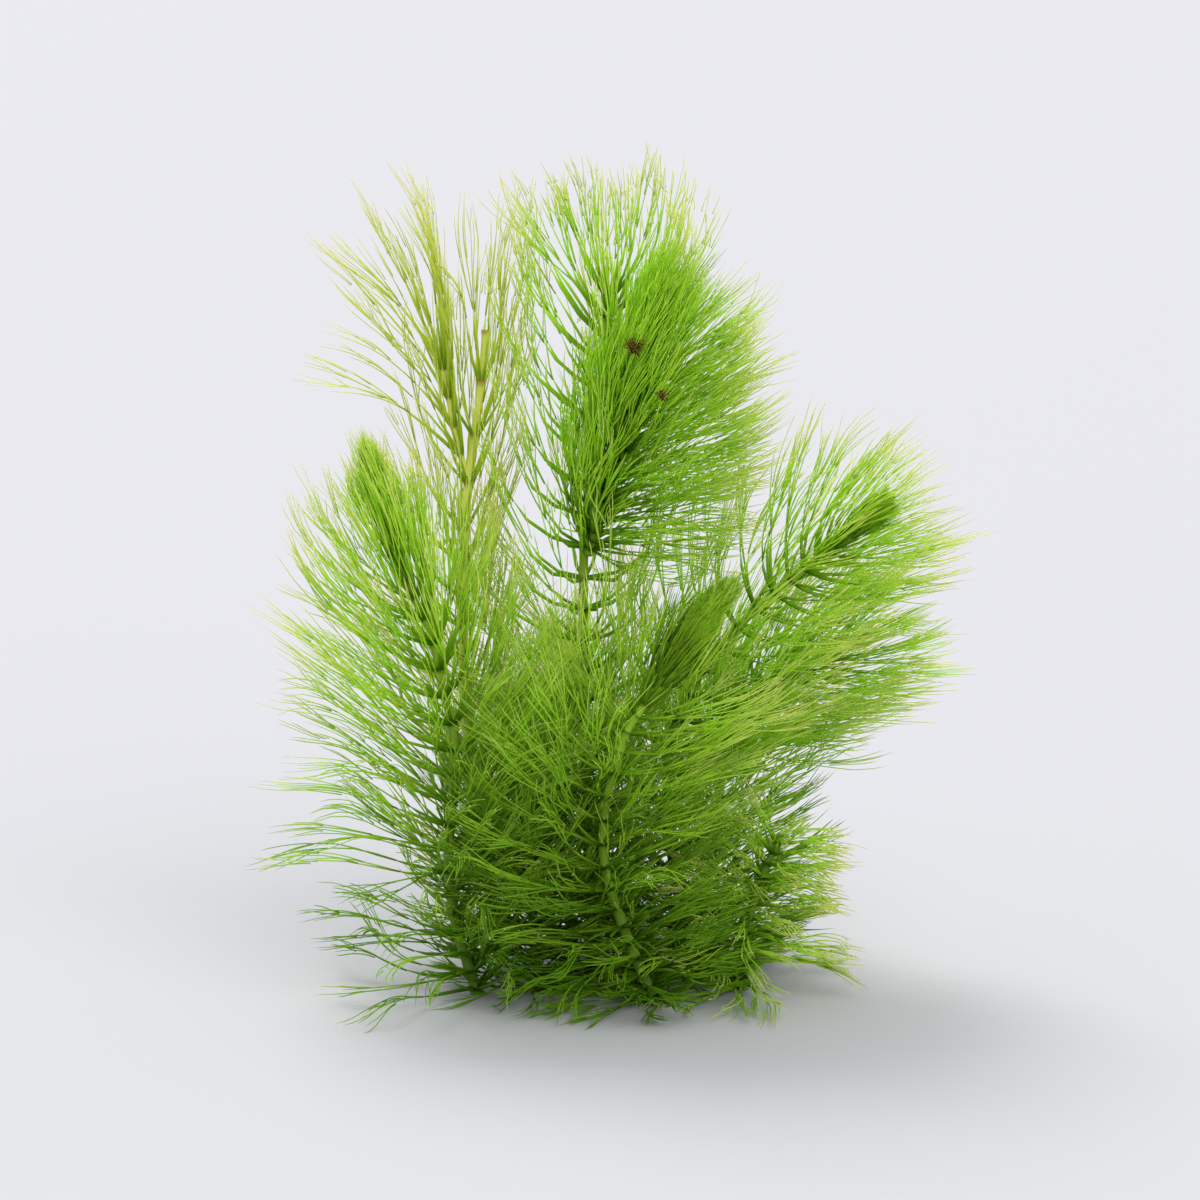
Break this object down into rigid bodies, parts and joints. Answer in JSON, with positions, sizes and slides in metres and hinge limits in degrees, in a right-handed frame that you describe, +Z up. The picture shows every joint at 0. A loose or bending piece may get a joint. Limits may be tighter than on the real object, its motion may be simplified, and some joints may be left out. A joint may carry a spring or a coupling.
{
  "type": "hornwort",
  "caption": "Clump of hornwort, an aquarium plant: upright green stems ringed with whorls of fine forked leaves, with one yellowing old shoot, cut off level at the foot.",
  "frame": {"origin": "centre of the tallest stem's cut foot, on the surface that the clump stands on", "axes": "+Z up along the clump's height, +X to the right as seen from the front, +Y to the back"},
  "size_m": [0.1179, 0.0971, 0.1318],
  "materials": {
    "stem": "smooth, slightly waxy green stem with darker node rings",
    "old_stem": "smooth yellow-green old stem with brown node rings",
    "leaf": "soft, slightly translucent green leaves, dark at the foot of the clump and yellow-green at their tips",
    "old_leaf": "soft, translucent yellow-green old leaves"
  },
  "bodies": {
    "root": {"stem_centre": "stem", "stem_dense": "stem", "stem_front": "stem", "stem_left": "stem", "stem_low_right": "stem", "stem_rear": "stem", "stem_rear_right": "stem", "stem_right": "stem", "stem_right_side": "stem", "stem_tall": "stem", "stem_yellow": "old_stem", "stem_yellow_side": "old_stem", "whorl_centre_1": "leaf", "whorl_centre_2": "leaf", "whorl_dense_1": "leaf", "whorl_dense_2": "leaf", "whorl_dense_3": "leaf", "whorl_dense_4": "leaf", "whorl_dense_5": "leaf", "whorl_front_1": "leaf", "whorl_front_2": "leaf", "whorl_front_3": "leaf", "whorl_front_4": "leaf", "whorl_front_5": "leaf", "whorl_front_6": "leaf", "whorl_left_1": "leaf", "whorl_left_2": "leaf", "whorl_left_3": "leaf", "whorl_left_4": "leaf", "whorl_left_5": "leaf", "whorl_left_6": "leaf", "whorl_left_7": "leaf", "whorl_low_right_1": "leaf", "whorl_low_right_2": "leaf", "whorl_rear_1": "leaf", "whorl_rear_2": "leaf", "whorl_rear_right_1": "leaf", "whorl_rear_right_2": "leaf", "whorl_right_1": "leaf", "whorl_right_2": "leaf", "whorl_right_3": "leaf", "whorl_right_4": "leaf", "whorl_right_5": "leaf", "whorl_right_side_1": "leaf", "whorl_right_side_2": "leaf", "whorl_right_side_3": "leaf", "whorl_tall_1": "leaf", "whorl_tall_2": "leaf", "whorl_tall_3": "leaf", "whorl_tall_4": "leaf", "whorl_tall_5": "leaf", "whorl_tall_6": "leaf", "whorl_tall_7": "leaf", "whorl_tall_8": "leaf", "whorl_yellow_1": "old_leaf", "whorl_yellow_2": "old_leaf", "whorl_yellow_3": "old_leaf", "whorl_yellow_4": "old_leaf", "whorl_yellow_side_1": "old_leaf", "whorl_yellow_side_2": "old_leaf"}
  },
  "joints": []
}
